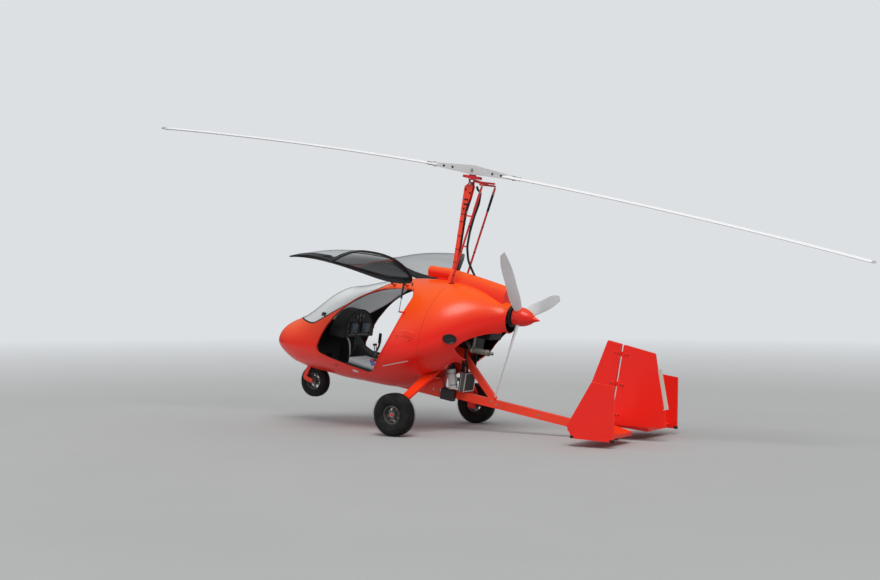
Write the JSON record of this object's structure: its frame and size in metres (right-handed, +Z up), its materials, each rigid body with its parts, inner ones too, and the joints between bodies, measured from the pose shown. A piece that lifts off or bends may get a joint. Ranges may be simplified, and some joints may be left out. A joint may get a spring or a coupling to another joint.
{
  "type": "gyrocopter",
  "caption": "Enclosed side-by-side gyrocopter on its gear, with a teetering rotor, pusher propeller, gull-wing doors on gas struts and steered nose wheel.",
  "frame": {"origin": "on the ground under the middle of the rotor disc, at the middle of the whole object's length and width", "axes": "+X points aft along the machine's length, +Y to starboard, +Z up; the machine sits nose-up on its main wheels and tail wheel"},
  "size_m": [8.3761, 2.444, 3.3938],
  "materials": {
    "body_gloss": "gloss composite in the body colour",
    "door_band": "gloss black band round the door pane",
    "clear_pane": "clear formed pane",
    "frame_red": "welded frame, powder coated in the body colour",
    "leg_red": "painted composite leaf in the body colour",
    "blade_skin": "pale satin blade skin",
    "bare_alloy": "machined alloy",
    "steel": "bare steel",
    "head_red": "powder coated rotor head and control rods",
    "prop_grey": "pale grey composite blades",
    "spinner_gloss": "gloss cone",
    "engine_grey": "cast light-alloy engine block",
    "exhaust_steel": "bare steel",
    "radiator_black": "black core",
    "tank_alloy": "bright tank",
    "plastic_black": "matt moulding",
    "sheath_rubber": "black sheath",
    "tyre": "ribbed tyre",
    "rubber": "solid wheel",
    "rim_alloy": "cast rim",
    "tail_skin": "gloss tail skin in the body colour",
    "seat_cloth": "pale grey padded cloth",
    "strut_black": "gas strut tube"
  },
  "bodies": {
    "airframe": {"cabin_shell": "body_gloss", "engine_cowl": "body_gloss", "dorsal_spine": "body_gloss", "mast": "frame_red", "keel_frame": "frame_red", "gear_legs": "leg_red", "windscreen": "clear_pane", "stabiliser": "tail_skin", "centre_fin": "tail_skin", "end_fins": "tail_skin", "engine": "engine_grey", "exhaust": "exhaust_steel", "radiator": "radiator_black", "oil_tank": "tank_alloy", "battery_box": "plastic_black", "coolant_post": "plastic_black", "drive_sheath": "sheath_rubber", "seat_shells": "plastic_black", "left_seat_cushion": "seat_cloth", "right_seat_cushion": "seat_cloth", "left_back_cushion": "seat_cloth", "right_back_cushion": "seat_cloth", "instrument_pod": "plastic_black", "cockpit_controls": "plastic_black"},
    "left_wheel": {"left_tyre": "tyre", "left_rim": "rim_alloy"},
    "right_wheel": {"right_tyre": "tyre", "right_rim": "rim_alloy"},
    "nose_leg": {"nose_fork": "frame_red"},
    "nose_wheel": {"nose_tyre": "tyre", "nose_rim": "rim_alloy"},
    "tail_wheel": {"tail_wheel": "rubber"},
    "rudder": {"rudder": "tail_skin"},
    "gimbal": {"gimbal_block": "bare_alloy"},
    "tee": {"tee_bar": "head_red"},
    "left_swivel": {"left_rod_swivel": "steel"},
    "left_rod": {"left_control_rod": "head_red"},
    "right_swivel": {"right_rod_swivel": "steel"},
    "right_rod": {"right_control_rod": "head_red"},
    "rotor_shaft": {"rotor_tower": "head_red"},
    "rotor": {"hub_bar": "bare_alloy", "rotor_blades": "blade_skin"},
    "propeller": {"propeller": "prop_grey", "spinner": "spinner_gloss"},
    "left_door": {"left_door_frame": "door_band", "left_door_glass": "clear_pane"},
    "right_door": {"right_door_frame": "door_band", "right_door_glass": "clear_pane"},
    "left_strut_tube": {"left_strut_tube": "strut_black"},
    "left_strut_rod": {"left_strut_rod": "steel"},
    "right_strut_tube": {"right_strut_tube": "strut_black"},
    "right_strut_rod": {"right_strut_rod": "steel"}
  },
  "joints": [
    {"name": "left_wheel_spin", "type": "hinge", "parent": "airframe", "child": "left_wheel", "pos_m": [-0.40981, -0.84, 0.22], "axis": [0, 1, 0], "continuous": true},
    {"name": "right_wheel_spin", "type": "hinge", "parent": "airframe", "child": "right_wheel", "pos_m": [-0.40981, 0.84, 0.22], "axis": [0, 1, 0], "continuous": true},
    {"name": "rudder_swing", "type": "hinge", "parent": "airframe", "child": "rudder", "pos_m": [1.65558, 0, 0.55296], "axis": [0.1754, 0, 0.9845], "range_deg": [-25, 25]},
    {"name": "nose_steer", "type": "hinge", "parent": "airframe", "child": "nose_leg", "pos_m": [-2.02261, 0, 0.60886], "axis": [0.1754, 0, 0.9845], "range_deg": [-25, 25]},
    {"name": "nose_wheel_spin", "type": "hinge", "parent": "nose_leg", "child": "nose_wheel", "pos_m": [-1.98648, 0, 0.45819], "axis": [0, 1, 0], "continuous": true},
    {"name": "tail_wheel_spin", "type": "hinge", "parent": "airframe", "child": "tail_wheel", "pos_m": [1.63994, 0, 0.04889], "axis": [0, 1, 0], "continuous": true},
    {"name": "head_pitch", "type": "hinge", "parent": "airframe", "child": "gimbal", "pos_m": [0.00678, 0, 2.58154], "axis": [0, 1, 0], "range_deg": [0, 16]},
    {"name": "head_roll", "type": "hinge", "parent": "gimbal", "child": "tee", "pos_m": [0.00678, 0, 2.58154], "axis": [0.9845, 0, -0.1754], "range_deg": [-8, 8]},
    {"name": "left_swivel_turn", "type": "hinge", "parent": "tee", "child": "left_swivel", "pos_m": [0.2118, -0.14, 2.55213], "axis": [0.9845, 0, -0.1754], "range_deg": [-8, 8]},
    {"name": "left_rod_turn", "type": "hinge", "parent": "left_swivel", "child": "left_rod", "pos_m": [0.20759, -0.14, 2.5285], "axis": [0, 1, 0], "range_deg": [-16, 0]},
    {"name": "right_swivel_turn", "type": "hinge", "parent": "tee", "child": "right_swivel", "pos_m": [0.2118, 0.14, 2.55213], "axis": [0.9845, 0, -0.1754], "range_deg": [-8, 8]},
    {"name": "right_rod_turn", "type": "hinge", "parent": "right_swivel", "child": "right_rod", "pos_m": [0.20759, 0.14, 2.5285], "axis": [0, 1, 0], "range_deg": [-16, 0]},
    {"name": "rotor_spin", "type": "hinge", "parent": "tee", "child": "rotor_shaft", "pos_m": [0.0308, 0, 2.71642], "axis": [0.1925, 0, 0.9813], "continuous": true},
    {"name": "rotor_teeter", "type": "hinge", "parent": "rotor_shaft", "child": "rotor", "pos_m": [0.0308, 0, 2.71642], "axis": [0, 1, 0], "range_deg": [-8, 8]},
    {"name": "propeller_spin", "type": "hinge", "parent": "airframe", "child": "propeller", "pos_m": [0.47926, 0, 1.21958], "axis": [0.9845, 0, -0.1754], "continuous": true},
    {"name": "left_door_swing", "type": "hinge", "parent": "airframe", "child": "left_door", "pos_m": [-0.67621, -0.322, 1.53002], "axis": [0.9945, -0.0866, -0.0586], "range_deg": [0, 91]},
    {"name": "left_strut_turn", "type": "hinge", "parent": "left_door", "child": "left_strut_tube", "pos_m": [-0.54297, -0.43642, 1.5711], "axis": [0.9945, -0.0866, -0.0586], "range_deg": [-117, 1]},
    {"name": "left_strut_slide", "type": "slide", "parent": "left_strut_tube", "child": "left_strut_rod", "axis": [-0.075, -0.1997, -0.977], "range_m": [-0.1231, 0.001]},
    {"name": "right_door_swing", "type": "hinge", "parent": "airframe", "child": "right_door", "pos_m": [-0.67621, 0.322, 1.53002], "axis": [-0.9945, -0.0866, 0.0586], "range_deg": [0, 91]},
    {"name": "right_strut_turn", "type": "hinge", "parent": "right_door", "child": "right_strut_tube", "pos_m": [-0.54297, 0.43642, 1.5711], "axis": [-0.9945, -0.0866, 0.0586], "range_deg": [-117, 1]},
    {"name": "right_strut_slide", "type": "slide", "parent": "right_strut_tube", "child": "right_strut_rod", "axis": [-0.075, 0.1997, -0.977], "range_m": [-0.1231, 0.001]}
  ],
  "couplings": [
    {"joint": "nose_steer", "follows": "rudder_swing", "ratio": -1},
    {"joint": "left_swivel_turn", "follows": "head_roll", "ratio": -1},
    {"joint": "left_rod_turn", "follows": "head_pitch", "ratio": -1},
    {"joint": "right_swivel_turn", "follows": "head_roll", "ratio": -1},
    {"joint": "right_rod_turn", "follows": "head_pitch", "ratio": -1},
    {"joint": "left_strut_turn", "follows": "left_door_swing", "ratio": -1.2629},
    {"joint": "left_strut_slide", "follows": "left_door_swing", "m_per_rad": -0.075631},
    {"joint": "right_strut_turn", "follows": "right_door_swing", "ratio": -1.2629},
    {"joint": "right_strut_slide", "follows": "right_door_swing", "m_per_rad": -0.075631}
  ]
}
